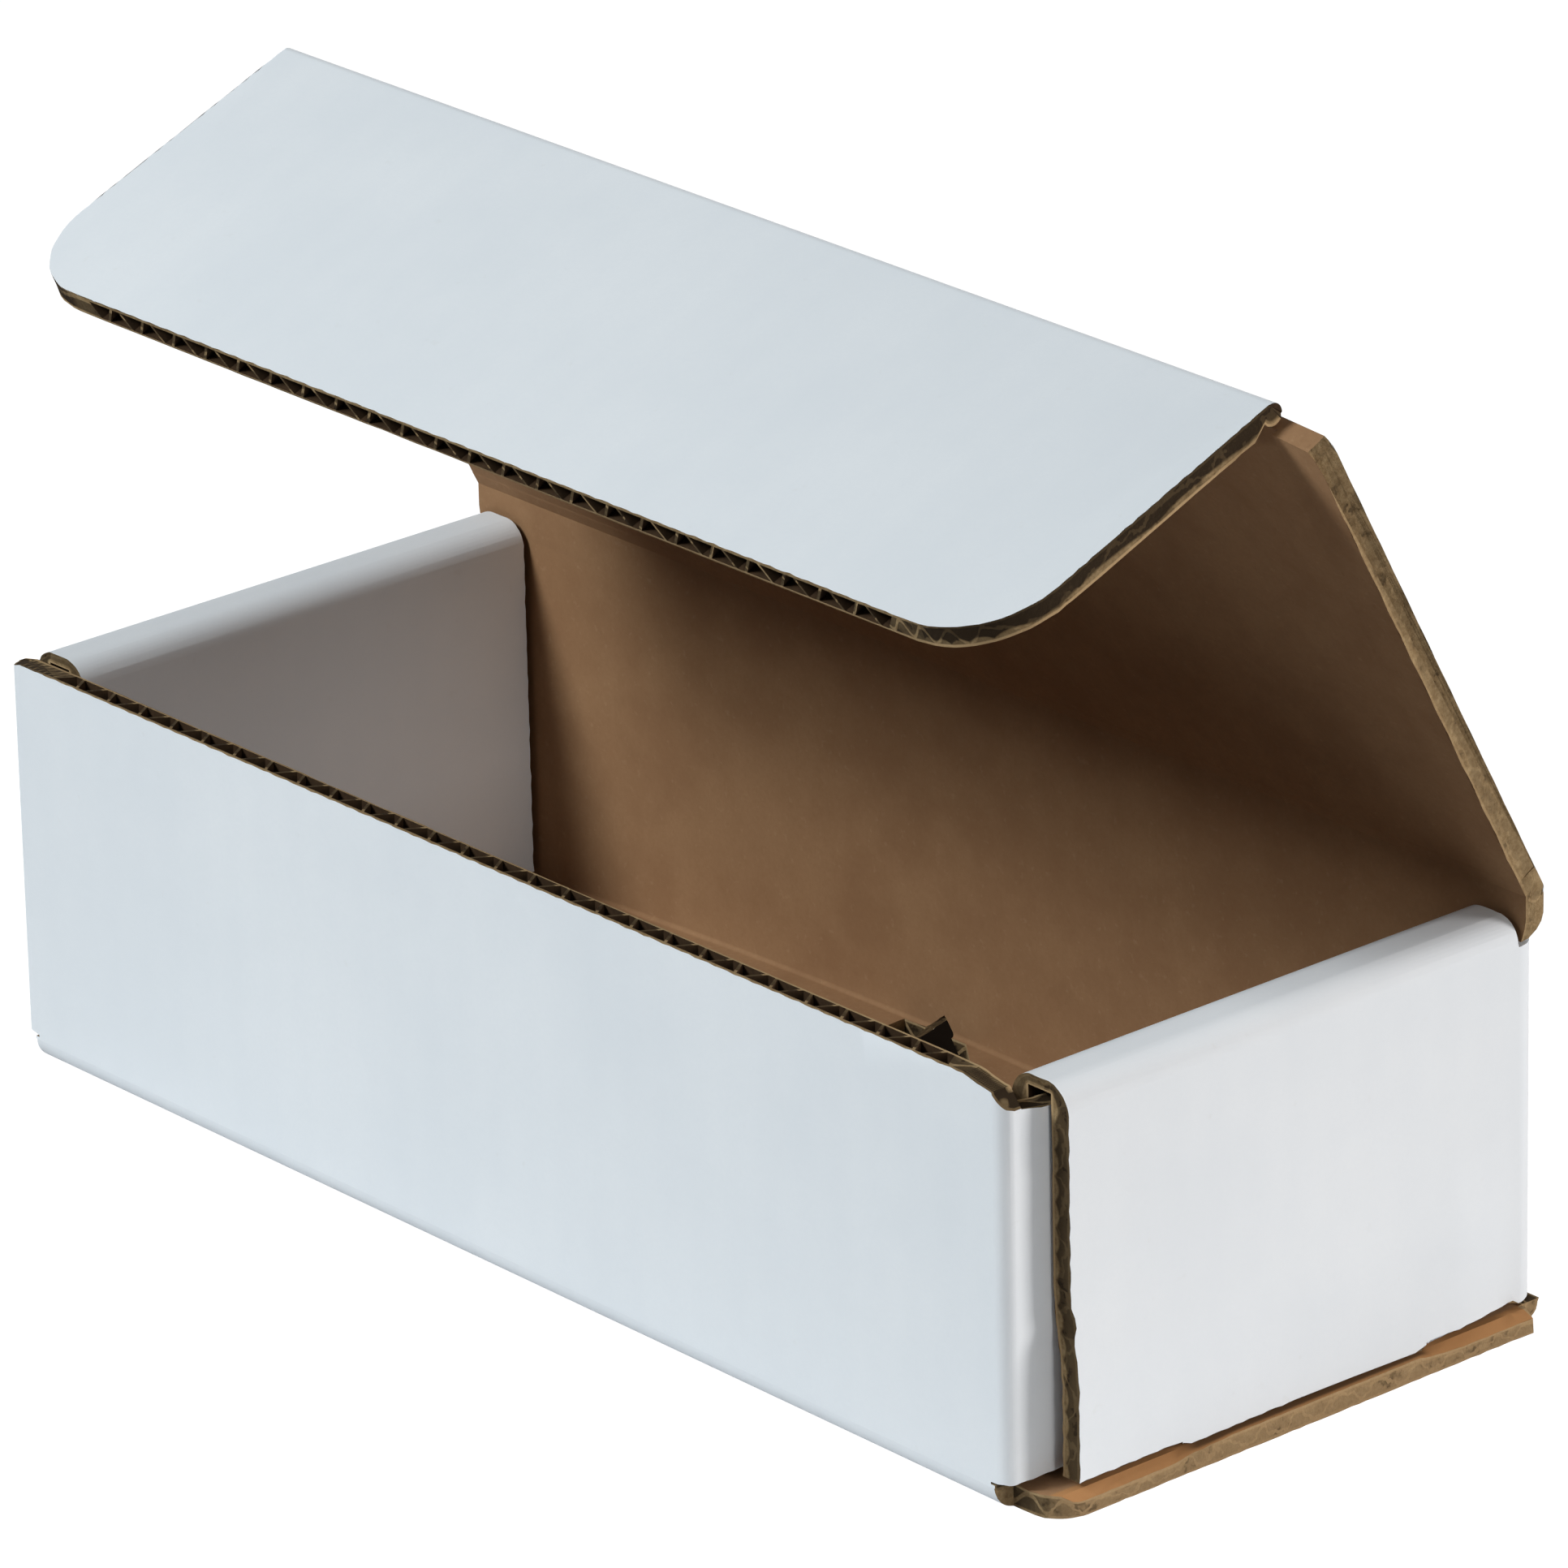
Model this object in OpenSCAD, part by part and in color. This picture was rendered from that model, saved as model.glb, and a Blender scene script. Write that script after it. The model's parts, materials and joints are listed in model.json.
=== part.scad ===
// Small mailer box folded from one sheet of fluted board, standing open.
// X runs along the box, Y from the front wall to the back wall, Z up from the table. Millimetres.
// The origin is under the middle of the bottom, on the table.
// tray: bottom, front wall with two dust flaps, back wall with two rolled end walls, one folded sheet.
// lid: turns about the crease along the back wall's top.
// tuck: turns about the crease along the lid's far edge and goes in behind the front wall.

/* [Board] */
// Thickness of the board
board_t = 3; // [2.6:0.1:3.4]
// Distance from one flute to the next
flute_pitch = 6.5; // [5.5:0.1:8]
// Thickness of the outer papers at an open end of the flutes
liner_t = 0.35; // [0.25:0.05:0.5]
// How far the open flutes are cut in from an edge
flute_depth = 9; // [4:0.5:15]
// Outside radius of a fold
fold_r = 3.6; // [3.5:0.1:3.8]
// Outside radius of the upright folds at the front, which are crushed sharper
corner_r = 2; // [1:0.1:2.8]

/* [Tray] */
// Clear length between the two end walls
inside_len = 180; // [140:1:260]
// Depth from the front face to the back face
body_d = 86; // [76:0.5:140]
// Height of the front wall
wall_h = 56.4; // [46:0.5:90]
// Room between two sheets that lie side by side
sheet_gap = 0.5; // [0.3:0.05:0.7]
// How far the bottom stands out past each end wall
lip = 2.1; // [0.8:0.1:4]
// Radius of the bottom's front right corner
lip_corner_r = 5; // [2:0.5:8]
// Length missing from the bottom's front left corner
lip_cut = 10; // [2:0.5:20]
// How far the front crease stops short of the dust flaps' outer faces
foot_trim = 2.3; // [1.5:0.1:2.9]

/* [Front wall corners] */
// Length of the slope on the right top corner
slope_right = 7; // [3:0.5:20]
// Height of the slope on the right top corner
slope_right_h = 3.4; // [1.2:0.1:3.5]
// Length of the steeper end of that slope
slope_bend = 1.9; // [0.5:0.1:2.9]
// How far that slope has come down where its steeper end starts
slope_bend_h = 1; // [0.3:0.1:3]
// Length of the slope on the left top corner
slope_left = 2.5; // [1:0.5:20]
// Height of the slope on the left top corner
slope_left_h = 0.7; // [0.3:0.1:5]
// How far the dust flaps stop below the top of the front wall
dust_drop = 3.5; // [3.5:0.1:8]
// Length of the dust flaps from the front face
dust_len = 60; // [30:1:68]
// Height of a dust flap's lower edge
dust_foot = 4; // [3.9:0.1:8]

/* [End walls] */
// How far the rolled top stops below the top of the front wall
roll_drop = 1.2; // [1:0.1:6]
// Thickness of the crushed board on top of each end wall
roll_t = 1.4; // [1:0.1:2.9]
// Distance from the front face to the end walls' front edge
end_setback = 7.3; // [7.1:0.1:12]
// Distance from the back wall to the rolled strip
strip_gap = 0.8; // [0.6:0.1:4]
// Height of the outer sheet's lower edge
outer_foot = 3.5; // [3.4:0.1:6]
// Height of the lower edge in the middle of the outer sheet
outer_tab_z = 3.25; // [3.2:0.05:3.4]
// Height of the inner sheet's lower edge
inner_foot = 4.7; // [4:0.1:6]
// Length of the tab on each lower edge
tab_len = 41; // [20:1:60]
// How far the hooks at the back wall's top ends reach below the top of the front wall
hook_drop = 2.4; // [1:0.1:4]
// How far in the hooks' tips lie from the outside of the end walls
hook_tip = 1.3; // [0.5:0.1:3]

/* [Opening in the bottom] */
// Distance of the opening from the middle of the box, to the left
notch_x = 8.5; // [0:0.5:40]
// Width of the opening at the back crease
notch_w = 12; // [6:0.5:20]
// Length of the opening along the bottom
notch_len = 6; // [4:0.5:20]
// How much wider the opening is at its front edge
notch_flare = 8; // [1:0.5:12]
// Height of the notch in the back wall's foot
notch_h = 2.8; // [1:0.1:5]
// Where the notch is highest, as a share of its width from the left
notch_peak = 0.6; // [0.2:0.05:0.8]

/* [Lid] */
// Distance from the back crease to the far crease
lid_len = 79; // [70:0.1:82]
// How far the lid stands open, from closed
lid_open = 62; // [50:0.1:80]
// Height of the back crease above the top of the front wall
crease_up = 2.1; // [0:0.1:4]
// How far the lid stands out past each end wall
lid_over = 0.4; // [0.2:0.1:4]
// Length cut off the lid's far left corner
lid_corner = 6.8; // [1:0.1:12]

/* [Tuck flap] */
// Length from its crease to its free edge
tuck_len = 49.5; // [30:0.5:50]
// How far the flap is folded in from the lid's plane
tuck_fold = 84.3; // [60:0.5:100]
// The furthest that the flap folds in; the board is scored thin enough for it
tuck_fold_max = 129; // [110:1:140]
// Room between each end of the flap and the dust flaps
tuck_room = 0.2; // [0.2:0.1:4]
// Radius of the flap's corners
tuck_corner_r = 13; // [5:0.5:24]

/* [Hidden] */
$fn = 48;
cut = 1;                                            // extra length of a cutting body
crease_gap = 0.3;                                   // room at a crease that turns
flute_half = flute_pitch / 2;
flute_web = 1.4 * liner_t;                          // width of the slanting paper between two flutes
flute_top = 0.3;                                    // narrow side of a flute as a share of its wide side
in_half = inside_len / 2;
roll_w = 3 * board_t + 2 * sheet_gap;
end_half = in_half + roll_w;                        // outside of the end walls
dust_in = in_half + board_t + sheet_gap;
front_half = dust_in + board_t;                     // outside of the dust flaps
bottom_half = end_half + lip;
inner_r = fold_r - board_t;
roll_top = wall_h - roll_drop;
dust_top = roll_top - board_t;                      // under the rolled strip
strip_back = body_d - board_t - strip_gap;
strip_len = strip_back - end_setback;
crease_y = body_d - board_t / 2;
crease_z = wall_h + crease_up;
back_top = crease_z - board_t / 2 - crease_gap;
lid_half = end_half + lid_over;
tuck_half = dust_in - tuck_room;
tab_from = (end_setback + strip_back - tab_len) / 2;
tab_foot = crease_gap;                              // lowest point of the inner tabs
slot_room = 0.3;
hook_out_h = 0.7;                                   // height of the hooks' outer edges
score_angle = (180 - tuck_fold_max) / 2;
score_len = (board_t / 2 + crease_gap) / tan(score_angle);

// A quarter of a fold's section, about its centre, towards -x and -y.
module fold_section() {
  intersection() {
    difference() {
      circle(r = fold_r);
      circle(r = inner_r);
    }
    translate([-fold_r, -fold_r]) square(fold_r);
  }
}

// The same for a fold of the rolled strip, which is crushed thin on top, here towards -y.
module roll_section() {
  intersection() {
    difference() {
      circle(r = fold_r);
      translate([-inner_r, roll_t - fold_r]) square([inner_r + cut, fold_r - roll_t + cut]);
    }
    translate([-fold_r, -fold_r]) square(fold_r);
  }
}

// What rounding takes off a square corner that points to +x and -y, its point at the origin.
module corner_off(r) {
  translate([-r, r]) difference() {
    translate([0, -r - cut]) square([r + cut, r + cut]);
    circle(r = r);
  }
}

// Extrudes a section drawn in y and z along x, on both sides of the middle.
module along_x(half) {
  translate([-half, 0, 0]) rotate([90, 0, 90]) linear_extrude(height = 2 * half) children();
}

// Extrudes a section drawn in x and z along y.
module along_y(from, len) {
  translate([0, from + len, 0]) rotate([90, 0, 0]) linear_extrude(height = len) children();
}

module both_ends() {
  children();
  mirror([1, 0, 0]) children();
}

// Section of one open flute; the next one along is turned over.
module flute_hole() {
  h = board_t / 2 - liner_t;
  w = (flute_half - flute_web) / (1 + flute_top);
  polygon([[-w, -h], [w, -h], [w * flute_top, h], [-w * flute_top, h]]);
}

// A row of open flutes along x about the origin, open upwards.
module flute_row(half) {
  n = floor((half - board_t / 2) / flute_half);
  for (i = [-n + 1 : n - 1])
    translate([i * flute_half, 0, -flute_depth])
      mirror([0, i % 2 == 0 ? 0 : 1, 0])
        linear_extrude(height = flute_depth + cut) flute_hole();
}

// Front wall, its crease, the bottom between the creases and the back wall's foot.
module middle_strip() {
  along_x(front_half - foot_trim) {
    translate([fold_r, fold_r]) fold_section();
    translate([0, fold_r - inner_r / 2]) square([board_t, dust_foot - fold_r]);
  }
  along_x(front_half - board_t)
    translate([0, fold_r - inner_r / 2]) square([board_t, wall_h - fold_r + inner_r / 2]);
  along_x(end_half - fold_r) {
    translate([body_d - fold_r, fold_r]) mirror([1, 0]) fold_section();
    translate([body_d - board_t, fold_r - inner_r / 2]) square([board_t, back_top - fold_r + inner_r / 2]);
  }
  along_x(end_half) intersection() {
    translate([body_d - fold_r, fold_r]) mirror([1, 0]) fold_section();
    square([body_d, outer_foot - crease_gap]);
  }
}

// The bottom with its lips, seen from above.
module bottom_outline() {
  difference() {
    translate([-bottom_half, fold_r - inner_r]) square([2 * bottom_half, body_d - 2 * (fold_r - inner_r)]);
    translate([bottom_half, fold_r - inner_r]) corner_off(lip_corner_r);
    translate([-bottom_half - cut, -cut]) square([bottom_half - front_half + cut, lip_cut + cut]);
    translate([-notch_x - notch_w / 2, body_d - fold_r])
      polygon([[0, 0], [0, -notch_len], [notch_w + notch_flare, -notch_len], [notch_w, 0]]);
    both_ends()
      translate([in_half - slot_room, tab_from - slot_room])
        square([board_t + 2 * slot_room, tab_len + 2 * slot_room]);
  }
}

// The fold at the front wall's right end and the dust flap behind it.
// The flap's top slopes down to pass under the rolled strip.
module front_corner() {
  translate([front_half, 0, dust_foot]) linear_extrude(height = wall_h - dust_foot) difference() {
    translate([-board_t, 0]) square(board_t);
    corner_off(corner_r);
  }
  difference() {
    translate([dust_in, 0, 0]) rotate([90, 0, 90]) linear_extrude(height = board_t)
      polygon([[board_t, dust_foot], [dust_len, dust_foot], [dust_len, dust_top], [end_setback, dust_top],
               [board_t, wall_h - dust_drop]]);
    translate([dust_in + board_t / 2, (end_setback + dust_len) / 2, dust_top])
      rotate(90) flute_row((dust_len - end_setback) / 2);
  }
}

// Outer sheet, rolled strip and inner sheet of the right end wall.
module end_roll() {
  along_y(end_setback, strip_len) {
    translate([end_half - board_t, outer_foot]) square([board_t, roll_top - fold_r - outer_foot]);
    translate([end_half - fold_r, roll_top - fold_r]) rotate(180) roll_section();
    translate([in_half + fold_r, roll_top - roll_t]) square([roll_w - 2 * fold_r, roll_t]);
    translate([in_half + fold_r, roll_top - fold_r]) mirror([0, 1]) roll_section();
    translate([in_half, inner_foot]) square([board_t, roll_top - fold_r - inner_foot]);
  }
  translate([in_half, tab_from, tab_foot]) cube([board_t, tab_len, inner_foot - tab_foot]);
  translate([end_half - board_t, tab_from, outer_tab_z]) cube([board_t, tab_len, outer_foot - outer_tab_z]);
  translate([end_half - board_t, strip_back, outer_foot])
    cube([board_t, body_d - fold_r - strip_back, roll_top - fold_r - outer_foot]);
  translate([end_half - fold_r, body_d - fold_r, outer_foot])
    linear_extrude(height = roll_top - fold_r - outer_foot) rotate(180) fold_section();
}

// Hook at the right end of the back wall's top, over the end wall's back fold.
module back_hook() {
  along_y(body_d - board_t, board_t)
    polygon([[end_half - fold_r, wall_h - hook_drop], [end_half - fold_r, back_top], [end_half, back_top],
             [end_half, back_top - hook_out_h], [end_half - hook_tip, wall_h - hook_drop]]);
}

// What the slopes take off the front wall's top corners.
module corner_slopes() {
  along_y(-cut, fold_r + 2 * cut) {
    polygon([[front_half - slope_right, wall_h], [front_half - slope_right, wall_h + cut],
             [front_half + cut, wall_h + cut], [front_half + cut, wall_h - slope_right_h],
             [front_half, wall_h - slope_right_h], [front_half - slope_bend, wall_h - slope_bend_h]]);
    polygon([[slope_left - front_half, wall_h], [slope_left - front_half, wall_h + cut],
             [-front_half - cut, wall_h + cut], [-front_half - cut, wall_h - slope_left_h],
             [-front_half, wall_h - slope_left_h]]);
  }
}

module tray() {
  color([0.83, 0.86, 0.89])
    translate([0, -body_d / 2, 0]) difference() {
      union() {
        middle_strip();
        linear_extrude(height = board_t) bottom_outline();
        both_ends() front_corner();
        both_ends() end_roll();
        both_ends() back_hook();
      }
      corner_slopes();
      translate([0, board_t / 2, wall_h]) flute_row(front_half - slope_right);
      along_y(body_d - fold_r - cut, fold_r + 2 * cut)
        translate([-notch_x - notch_w / 2, 0])
          polygon([[0, -cut], [notch_w, -cut], [notch_w * notch_peak, board_t + notch_h]]);
    }
}

// Places what is drawn flat, with its crease along x through the origin, on the open lid.
module on_lid() {
  translate([0, crease_y - body_d / 2, crease_z]) rotate([-lid_open, 0, 0]) children();
}

// What the score takes off the brown side beside the far crease; x2 grows away from the crease.
module score_section() {
  polygon([[0, crease_gap], [score_len, crease_gap - score_len * tan(score_angle)],
           [score_len, -board_t], [0, -board_t]]);
}

module lid() {
  far = -lid_len + board_t / 2 + crease_gap;
  color([0.55, 0.42, 0.3])
    on_lid() difference() {
      union() {
        translate([0, 0, -board_t / 2])
          linear_extrude(height = board_t)
            polygon([[lid_half, 0], [lid_half, far], [lid_corner - lid_half, far],
                     [-lid_half, far + lid_corner], [-lid_half, 0]]);
        along_x(lid_half) circle(r = board_t / 2);
      }
      translate([0, -lid_len, 0]) along_x(tuck_half + crease_gap) score_section();
    }
}

module tuck() {
  color([0.83, 0.87, 0.9])
    on_lid() translate([0, -lid_len, 0]) rotate([tuck_fold, 0, 0])
      difference() {
        union() {
          difference() {
            translate([0, 0, -board_t / 2]) linear_extrude(height = board_t)
              difference() {
                translate([-tuck_half, -tuck_len]) square([2 * tuck_half, tuck_len]);
                both_ends() translate([tuck_half, -tuck_len]) corner_off(tuck_corner_r);
              }
            along_x(tuck_half + cut) mirror([1, 0]) score_section();
          }
          along_x(tuck_half) circle(r = board_t / 2);
        }
        translate([0, -tuck_len, 0]) rotate([90, 0, 0]) flute_row(tuck_half - tuck_corner_r);
      }
}

tray();
lid();
tuck();
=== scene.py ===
# %% [markdown]
# # A folded mailer box of fluted board
# The real box is one sheet of fluted board, white paper outside and brown paper inside, cut out
# and folded. The measured model already has its folds and the open flutes along its cut edges.
# This lesson puts a skin on it: each face learns whether it is white paper, brown paper, a cut edge
# or the inside of a flute, which is coloured dark as painted shade. The cut edges then get the
# small waves that a serrated knife leaves, and the bottom springs up a little as in the real, empty
# box.

# %% Load the measured model
import json
import math

import bmesh
import bpy
from mathutils import Matrix, Vector, noise


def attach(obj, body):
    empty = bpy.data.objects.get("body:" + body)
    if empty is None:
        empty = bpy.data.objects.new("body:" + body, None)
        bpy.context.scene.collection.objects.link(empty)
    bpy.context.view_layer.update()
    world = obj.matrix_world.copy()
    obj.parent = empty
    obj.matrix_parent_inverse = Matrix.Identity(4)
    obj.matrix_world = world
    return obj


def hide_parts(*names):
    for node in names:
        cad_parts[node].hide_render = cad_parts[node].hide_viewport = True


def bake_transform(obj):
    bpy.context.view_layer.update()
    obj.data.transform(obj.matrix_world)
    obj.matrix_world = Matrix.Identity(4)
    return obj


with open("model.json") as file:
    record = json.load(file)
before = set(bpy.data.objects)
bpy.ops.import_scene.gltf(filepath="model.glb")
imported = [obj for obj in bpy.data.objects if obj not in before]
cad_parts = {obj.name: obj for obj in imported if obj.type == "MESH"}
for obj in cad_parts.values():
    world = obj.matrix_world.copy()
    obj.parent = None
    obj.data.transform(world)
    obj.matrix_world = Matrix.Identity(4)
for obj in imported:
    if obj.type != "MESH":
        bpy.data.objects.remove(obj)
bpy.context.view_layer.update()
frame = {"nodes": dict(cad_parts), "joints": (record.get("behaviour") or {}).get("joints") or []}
MM = 0.001

# %% [markdown]
# ## The camera
# The box was photographed from far away with a long lens, from the right, the front and a little
# above. Place, turn and lens were worked out from its straight edges, so they are written here as
# plain numbers.

# %% Place the camera
VIEW_LENS = 258.35
VIEW_SENSOR = 36
VIEW_PLACE = Vector((1.00426, -0.85586, 0.59076))
VIEW_RIGHT = Vector((0.65766, 0.75305, -0.01993))
VIEW_UP = Vector((-0.27135, 0.26149, 0.92628))
VIEW_BACK = VIEW_RIGHT.cross(VIEW_UP)

camera_data = bpy.data.cameras.new("camera")
camera_data.lens = VIEW_LENS
camera_data.sensor_width = VIEW_SENSOR
camera_data.clip_start = 0.05
camera_data.clip_end = 50
camera = bpy.data.objects.new("camera", camera_data)
view_turn = Matrix((VIEW_RIGHT, VIEW_UP, VIEW_BACK)).transposed().to_4x4()
camera.matrix_world = Matrix.Translation(VIEW_PLACE) @ view_turn
bpy.context.scene.collection.objects.link(camera)
bpy.context.scene.camera = camera
print("camera stands", round(VIEW_PLACE.length, 2), "m away")

# %% [markdown]
# ## Light
# The photograph has a white surround with no visible shadow. The inside of the box shows where
# the light stands: the left end wall throws its shadow down the back wall to the right, so the
# main light, two windows here, is high up on the left and in front. Two white cards on the right
# light the end wall and the inside of the left one, and the pale table throws light up at the
# lid. How strong each one is was worked out by rendering the box with one lamp at a time and
# adding the pictures up until their tones matched those of the photograph.

# %% Light the room
scene = bpy.context.scene
scene.view_settings.view_transform = "Standard"

world = bpy.data.worlds.new("surround")
world.use_nodes = True
scene.world = world


MIDDLE = Vector((0, 0, 0.05))


def area_light(name, place, size, power, colour):
    """A square soft light at place, facing the middle of the box."""
    data = bpy.data.lights.new(name, "AREA")
    data.shape = "SQUARE"
    data.size = size
    data.energy = power
    data.color = colour
    lamp = bpy.data.objects.new(name, data)
    lamp.location = place
    lamp.rotation_euler = (MIDDLE - Vector(place)).to_track_quat("-Z", "Y").to_euler()
    scene.collection.objects.link(lamp)


DAYLIGHT = (0.925, 0.98, 1.0)
CARD_WHITE = (1.0, 0.97, 0.94)
CARD_BEHIND_WHITE = (1.0, 0.97, 0.945)
area_light("window_left", (-0.38, -1.1, 0.95), 0.3, 11.5, DAYLIGHT)
area_light("window_high", (-0.45, -0.95, 1.15), 0.4, 7.6, DAYLIGHT)
area_light("card_right", (1.45, -0.15, 0.5), 0.4, 4.8, CARD_WHITE)
area_light("card_behind", (1.05, 0.95, 0.3), 0.4, 13.6, CARD_BEHIND_WHITE)


# %% [markdown]
# ## Writing shaders as sums
# A material here is a small calculation: a colour, plus some fibre, minus a flute line. The class
# below wraps a socket, so that `1 - mask * 0.3` adds the nodes for it.

# %% A socket that can be added and multiplied
LIPS_FROM = (0.0993, 0.1)
LIPS_TOP = (0.0033, 0.0036)


class Value:
    """A number that varies over the surface; sums and products add Math nodes."""

    def __init__(self, shader, socket):
        self.shader, self.socket = shader, socket

    def _math(self, operation, *inputs):
        return self.shader.node("ShaderNodeMath", {"operation": operation}, *inputs)

    def __add__(self, other):
        return self._math("ADD", self, other)

    def __sub__(self, other):
        return self._math("SUBTRACT", self, other)

    def __rsub__(self, other):
        return self._math("SUBTRACT", other, self)

    def __mul__(self, other):
        return self._math("MULTIPLY", self, other)

    __radd__, __rmul__ = __add__, __mul__

    def sin(self):
        return self._math("SINE", self)

    def abs(self):
        return self._math("ABSOLUTE", self)

    def step(self, low, high):
        """0 below low, 1 above high, with a smooth rise between."""
        smooth = {"interpolation_type": "SMOOTHSTEP"}
        return self.shader.node("ShaderNodeMapRange", smooth, self, low, high)

    def between(self, rise, fall):
        """1 between the steps rise and fall, 0 outside them."""
        return self.step(*rise) * (1 - self.step(*fall))


class Shader:
    """A new material and its nodes."""

    def __init__(self, name):
        self.material = bpy.data.materials.new(name)
        self.material.use_nodes = True
        self.tree = self.material.node_tree
        self.surface = self.tree.nodes["Principled BSDF"]
        self.place = self.node("ShaderNodeTexCoord", {}, out="Object")

    def node(self, kind, settings, *inputs, out=0, **named):
        """Adds a node, gives it its settings and inputs, and returns one output as a Value."""
        made = self.tree.nodes.new(kind)
        for key, value in settings.items():
            setattr(made, key, value)
        for key, value in [*enumerate(inputs), *named.items()]:
            self.put(made.inputs[key], value)
        return Value(self, made.outputs[out])

    def put(self, socket, value):
        if isinstance(value, Value):
            self.tree.links.new(value.socket, socket)
        else:
            socket.default_value = value

    def set(self, **values):
        """Sets sockets of the surface; Base_Color stands for Base Color."""
        for key, value in values.items():
            self.put(self.surface.inputs[key.replace("_", " ")], value)

    def parts(self, vector=None):
        """x, y and z of the place on the piece."""
        split = self.node("ShaderNodeSeparateXYZ", {}, vector or self.place)
        return [Value(self, split.socket.node.outputs[i]) for i in range(3)]

    def noise(self, scale, detail=3, stretch=(1, 1, 1), rough=0.55):
        """Soft random values about 0.5, with patches about 1 / scale metres wide."""
        where = self.node("ShaderNodeMapping", {}, self.place, Scale=stretch)
        grain = {"Scale": scale, "Detail": detail, "Roughness": rough}
        return self.node("ShaderNodeTexNoise", {}, where, **grain)

    def mix(self, share, first, second):
        """The colour first where share is 0, second where it is 1."""
        made = self.tree.nodes.new("ShaderNodeMix")
        made.data_type = "RGBA"
        for index, value in ((0, share), (6, first), (7, second)):
            self.put(made.inputs[index], value)
        return Value(self, made.outputs[2])

    def shine(self, amount):
        """How much of the light the surface throws back like a mirror; paper has little."""
        self.surface.inputs["Specular IOR Level"].default_value = amount

    def bump(self, height, distance, strength):
        return self.node("ShaderNodeBump", {}, Height=height, Distance=distance, Strength=strength)

    def flutes(self, pitch):
        """A wave that follows the flutes: across the box, or along y on its end walls."""
        x, y, _ = self.parts()
        side = self.parts(self.node("ShaderNodeNewGeometry", {}, out="Normal"))[0].abs()
        across = x * (1 - side) + y * side
        return (across * (2 * math.pi / pitch)).sin() * 0.5 + 0.5

    def on_lips(self):
        """1 on the two lips under the end walls, where the crushed paper is brighter."""
        x, _, z = self.parts()
        return x.abs().step(*LIPS_FROM) * (1 - z.step(*LIPS_TOP))

    def attribute(self, name):
        """A value kept on the piece's own mesh."""
        return self.node("ShaderNodeAttribute", {"attribute_name": name}, out="Fac")


def rgb(r, g, b):
    """A colour as seen on the screen, 0 to 255, turned into the light values that Blender mixes."""
    return (*[((c / 255 + 0.055) / 1.055) ** 2.4 for c in (r, g, b)], 1)


print("white paper in light values:", [round(c, 3) for c in rgb(228, 231, 235)])

# %% [markdown]
# ## The papers
# White paper: a thin bleached sheet, matt, with cloudy fibres and very faint flute lines. Brown
# paper: unbleached fibres, with flecks both lighter and darker, and clearer flute lines because
# it is softer. A cut edge shows both papers as thin lines with the crushed wavy middle sheet
# between them.

# %% White outside paper
FLUTE_PITCH = 6.5 * MM
KNIFE_WAVE = 3.4


def white_paper():
    s = Shader("white_paper")
    cloud = s.noise(38, 4)
    fibre = s.noise(1400, 3, rough=0.7)
    speck = s.noise(420, 2).step(0.68, 0.8)
    flute = s.flutes(FLUTE_PITCH)
    tone = s.mix(cloud.step(0.25, 0.75), rgb(225, 229, 233), rgb(231, 234, 237))
    tone = s.mix(fibre * 0.4, tone, rgb(219, 224, 230))
    tone = s.mix(speck * 0.1, tone, rgb(203, 200, 194))
    tone = s.mix(flute * 0.03, tone, rgb(205, 211, 220))
    s.set(Base_Color=tone, Roughness=0.58 + fibre * 0.14)
    s.shine(0.3)
    s.set(Normal=s.bump(fibre * 0.5 + flute * 0.5, 0.000025, 0.5))
    return s.material


# %% Brown inside paper
TAB_SHADE_X = (0.1013, 0.1019)
TAB_SHADE_Y = ((-0.019, -0.016), (0.021, 0.023))


def brown_paper():
    s = Shader("brown_paper")
    cloud = s.noise(90, 5, rough=0.62)
    fibre = s.noise(1300, 4, rough=0.72)
    fleck_light = s.noise(900, 2, (1, 1.8, 1)).step(0.6, 0.8)
    fleck_dark = s.noise(700, 2, (1.7, 1, 1.3)).step(0.62, 0.82)
    flute = s.flutes(FLUTE_PITCH)
    tone = s.mix(cloud.step(0.3, 0.7), rgb(147, 111, 79), rgb(159, 123, 89))
    tone = s.mix(fibre.step(0.3, 0.75) * 0.3, tone, rgb(137, 103, 74))
    tone = s.mix(fleck_light * 0.16, tone, rgb(200, 166, 128))
    tone = s.mix(fleck_dark * 0.2, tone, rgb(120, 88, 62))
    tone = s.mix(flute * 0.06, tone, rgb(138, 103, 72))
    tone = s.mix(s.on_lips() * 0.7, tone, rgb(184, 131, 80))
    x, y, _ = s.parts()
    shade = (1 - x.abs().step(*TAB_SHADE_X)) * y.between(*TAB_SHADE_Y)
    tone = s.mix(s.on_lips() * shade * 0.75, tone, rgb(64, 46, 30))
    s.set(Base_Color=tone, Roughness=0.76 + fibre * 0.16)
    s.shine(0.2)
    s.set(Normal=s.bump(fibre * 0.5 + flute * 0.5, 0.00005, 0.6))
    return s.material


# %% Cut edges and the insides of the flutes
LINER = (0.09, 0.16)
HOLLOW = ((0.09, 0.17), (0.84, 0.92))
WEB = (0.07, 0.15)
WEB_SWING = 0.33
STRAY = 9


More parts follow.
